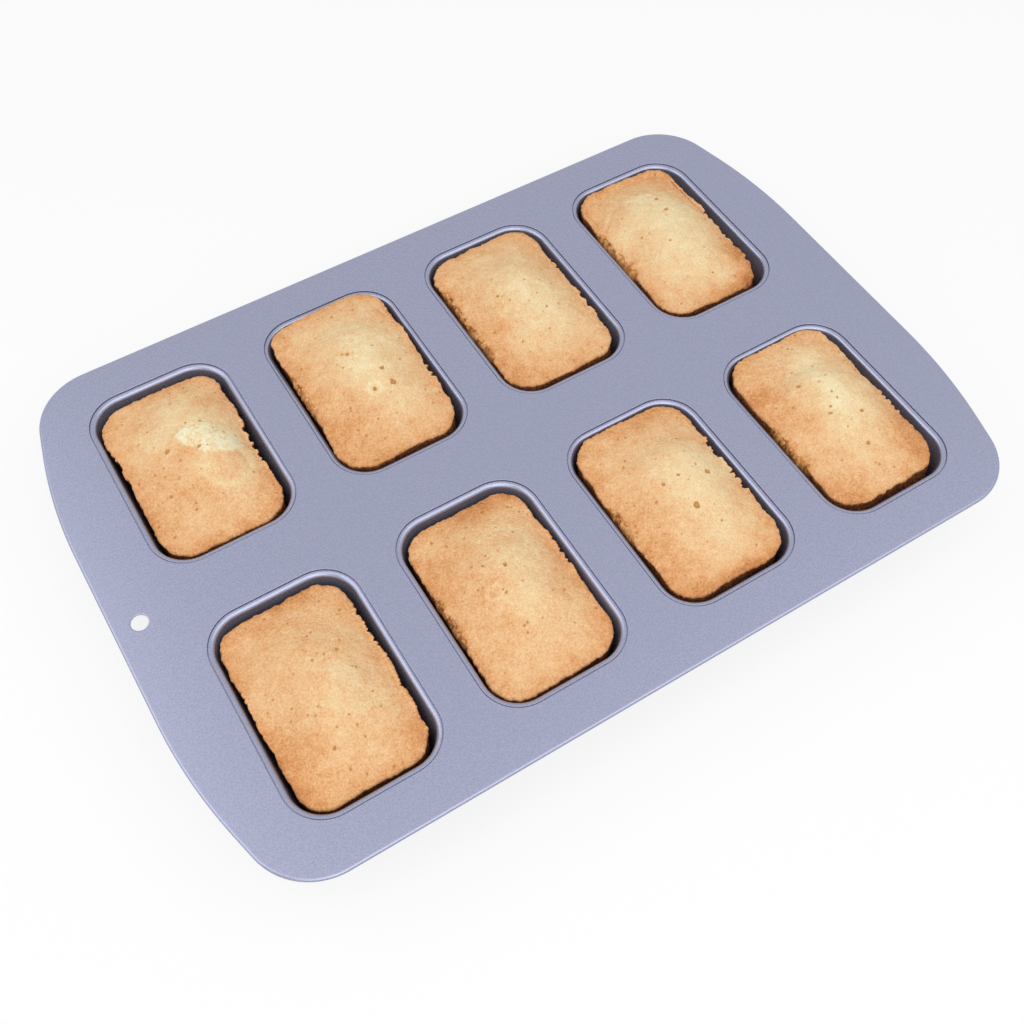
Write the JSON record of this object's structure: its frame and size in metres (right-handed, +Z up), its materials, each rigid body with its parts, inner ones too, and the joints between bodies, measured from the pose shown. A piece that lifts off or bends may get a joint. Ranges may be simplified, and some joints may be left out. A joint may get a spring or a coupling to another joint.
{
  "type": "mini loaf pan",
  "caption": "Rectangular pressed-steel baking pan with rows of deep mini loaf wells, a folded edge and a hanging hole, holding baked loaves that lift straight out.",
  "frame": {"origin": "under the middle of the pan, on the surface that the well floors stand on", "axes": "+X along the pan, away from the hanging hole; +Y across it, towards the back row of wells; +Z up"},
  "size_m": [0.391, 0.273, 0.0496],
  "materials": {
    "coated_steel": "satin, fine metallic speckle",
    "crust": "matte baked crust"
  },
  "bodies": {
    "pan": {"pan": "coated_steel"},
    "loaf_front_1": {"loaf_front_1": "crust"},
    "loaf_front_2": {"loaf_front_2": "crust"},
    "loaf_front_3": {"loaf_front_3": "crust"},
    "loaf_front_4": {"loaf_front_4": "crust"},
    "loaf_back_1": {"loaf_back_1": "crust"},
    "loaf_back_2": {"loaf_back_2": "crust"},
    "loaf_back_3": {"loaf_back_3": "crust"},
    "loaf_back_4": {"loaf_back_4": "crust"}
  },
  "joints": [
    {"name": "loaf_front_1_lift", "type": "slide", "parent": "pan", "child": "loaf_front_1", "axis": [0, 0, 1], "range_m": [0, 0.05]},
    {"name": "loaf_front_2_lift", "type": "slide", "parent": "pan", "child": "loaf_front_2", "axis": [0, 0, 1], "range_m": [0, 0.05]},
    {"name": "loaf_front_3_lift", "type": "slide", "parent": "pan", "child": "loaf_front_3", "axis": [0, 0, 1], "range_m": [0, 0.05]},
    {"name": "loaf_front_4_lift", "type": "slide", "parent": "pan", "child": "loaf_front_4", "axis": [0, 0, 1], "range_m": [0, 0.05]},
    {"name": "loaf_back_1_lift", "type": "slide", "parent": "pan", "child": "loaf_back_1", "axis": [0, 0, 1], "range_m": [0, 0.05]},
    {"name": "loaf_back_2_lift", "type": "slide", "parent": "pan", "child": "loaf_back_2", "axis": [0, 0, 1], "range_m": [0, 0.05]},
    {"name": "loaf_back_3_lift", "type": "slide", "parent": "pan", "child": "loaf_back_3", "axis": [0, 0, 1], "range_m": [0, 0.05]},
    {"name": "loaf_back_4_lift", "type": "slide", "parent": "pan", "child": "loaf_back_4", "axis": [0, 0, 1], "range_m": [0, 0.05]}
  ]
}
